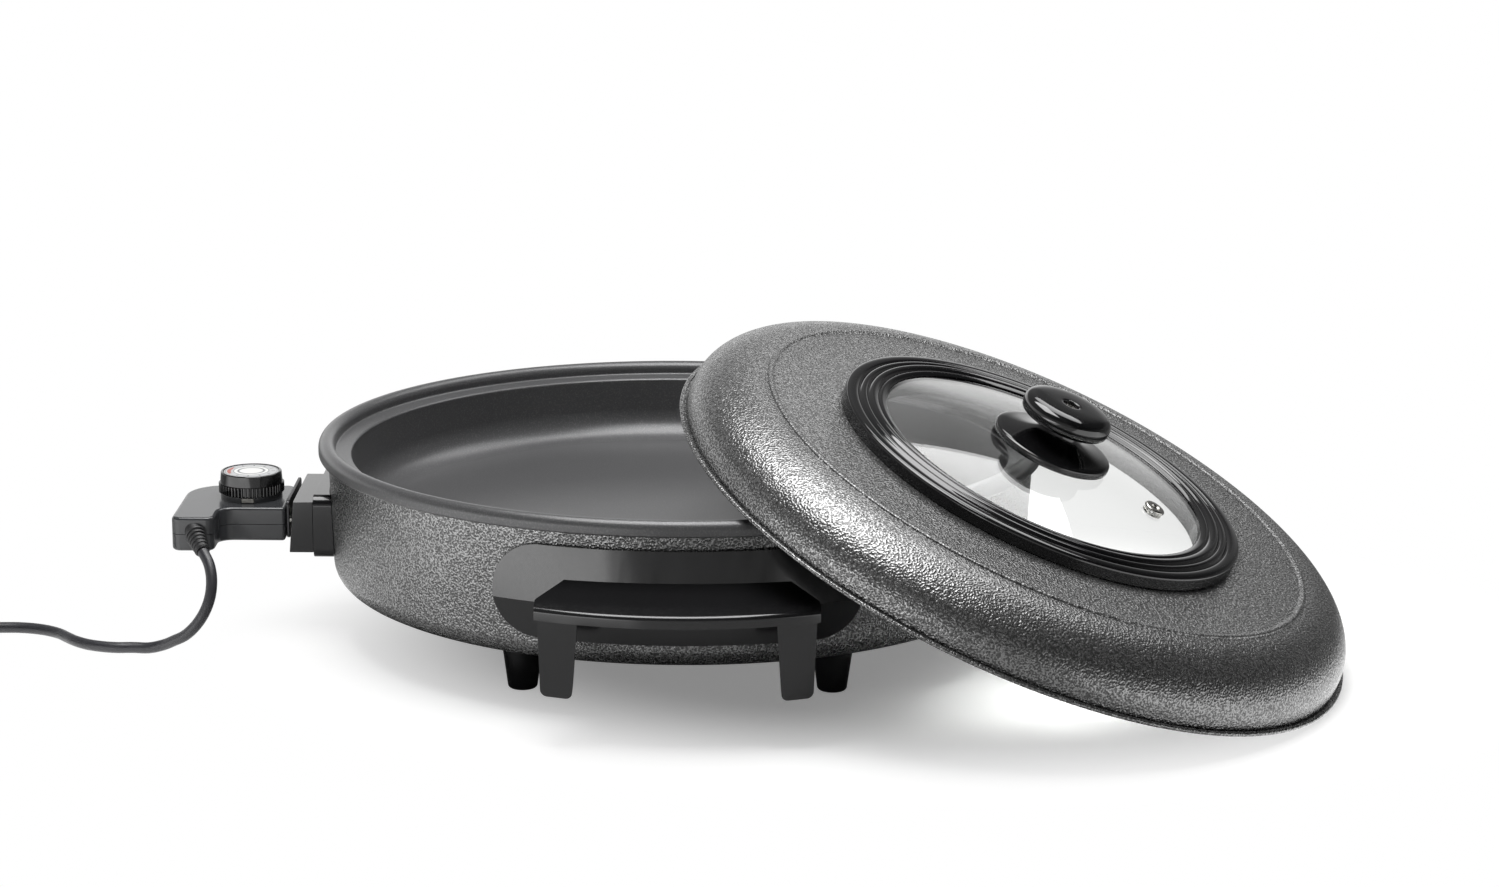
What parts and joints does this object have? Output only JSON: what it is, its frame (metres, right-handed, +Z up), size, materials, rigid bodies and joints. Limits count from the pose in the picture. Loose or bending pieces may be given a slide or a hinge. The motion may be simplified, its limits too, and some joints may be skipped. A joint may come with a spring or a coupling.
{
  "type": "electric skillet",
  "caption": "Round electric party pan on tapered feet with side handles, a plug-in dial thermostat on a mains lead, and a loose domed metal lid with a glass window and knob leaning on its rim.",
  "frame": {"origin": "on the table, in the middle of the object's outline measured without the mains lead, its coil and its plug", "axes": "+Z up, -Y towards the front handle, -X towards the thermostat controller, +X towards the lid's lower edge"},
  "size_m": [0.8775, 0.5332, 0.1786],
  "materials": {
    "hammered_paint": "hammered semi-gloss dark grey metallic",
    "non_stick": "satin black non-stick coating on cast aluminium",
    "black_plastic": "satin black phenolic",
    "gloss_black": "gloss black",
    "housing_plastic": "satin grey-black",
    "steel": "plain bright steel",
    "dark_steel": "heat-dulled steel",
    "silver_face": "spun silver with rings",
    "clear_glass": "clear polished",
    "rubber": "dull black",
    "cord_sheath": "satin black",
    "strap": "woven black strap",
    "pale_plastic": "satin off-white"
  },
  "bodies": {
    "pan": {"inner_pan": "non_stick", "outer_jacket": "hammered_paint", "heating_element": "dark_steel", "terminal_pin_front": "steel", "terminal_pin_back": "steel", "probe_sleeve": "dark_steel", "socket_shroud": "black_plastic", "handle_front": "black_plastic", "handle_back": "black_plastic", "handle_screw_front_left": "steel", "handle_screw_front_right": "steel", "handle_screw_back_left": "steel", "handle_screw_back_right": "steel", "foot_front_left": "black_plastic", "foot_front_right": "black_plastic", "foot_back_left": "black_plastic", "foot_back_right": "black_plastic", "foot_screw_front_left": "steel", "foot_screw_front_right": "steel", "foot_screw_back_left": "steel", "foot_screw_back_right": "steel"},
    "controller": {"plug_block": "black_plastic", "guard_plate": "dark_steel", "controller_base": "housing_plastic", "controller_cover": "housing_plastic", "dial_index_window": "pale_plastic", "thermostat_switch": "pale_plastic", "contact_socket_front": "steel", "contact_socket_back": "steel", "probe_rod": "steel", "controller_screw_1": "steel", "controller_screw_2": "steel", "strain_relief": "rubber", "mains_cord": "cord_sheath", "cord_coil": "cord_sheath", "cord_tie": "strap", "mains_plug": "black_plastic", "plug_pin_1": "steel", "plug_pin_2": "steel"},
    "dial": {"dial_knob": "gloss_black", "dial_face": "silver_face", "dial_spindle": "steel"},
    "lid": {"lid_shell": "hammered_paint", "lid_ring_upper": "gloss_black", "lid_ring_lower": "black_plastic", "lid_glass": "clear_glass", "vent_grommet": "steel", "knob_skirt": "gloss_black", "knob_cap": "gloss_black", "knob_screw": "steel", "knob_nut": "steel"}
  },
  "joints": [
    {"name": "lid_lift", "type": "slide", "parent": "pan", "child": "lid", "axis": [0, 0, 1], "range_m": [0, 0.25]},
    {"name": "controller_pull", "type": "slide", "parent": "pan", "child": "controller", "axis": [-1, 0, 0], "range_m": [0, 0.08]},
    {"name": "dial_turn", "type": "hinge", "parent": "controller", "child": "dial", "pos_m": [-0.29177, 0.00812, 0.0849], "axis": [0, 0, 1], "range_deg": [0, 270]}
  ]
}
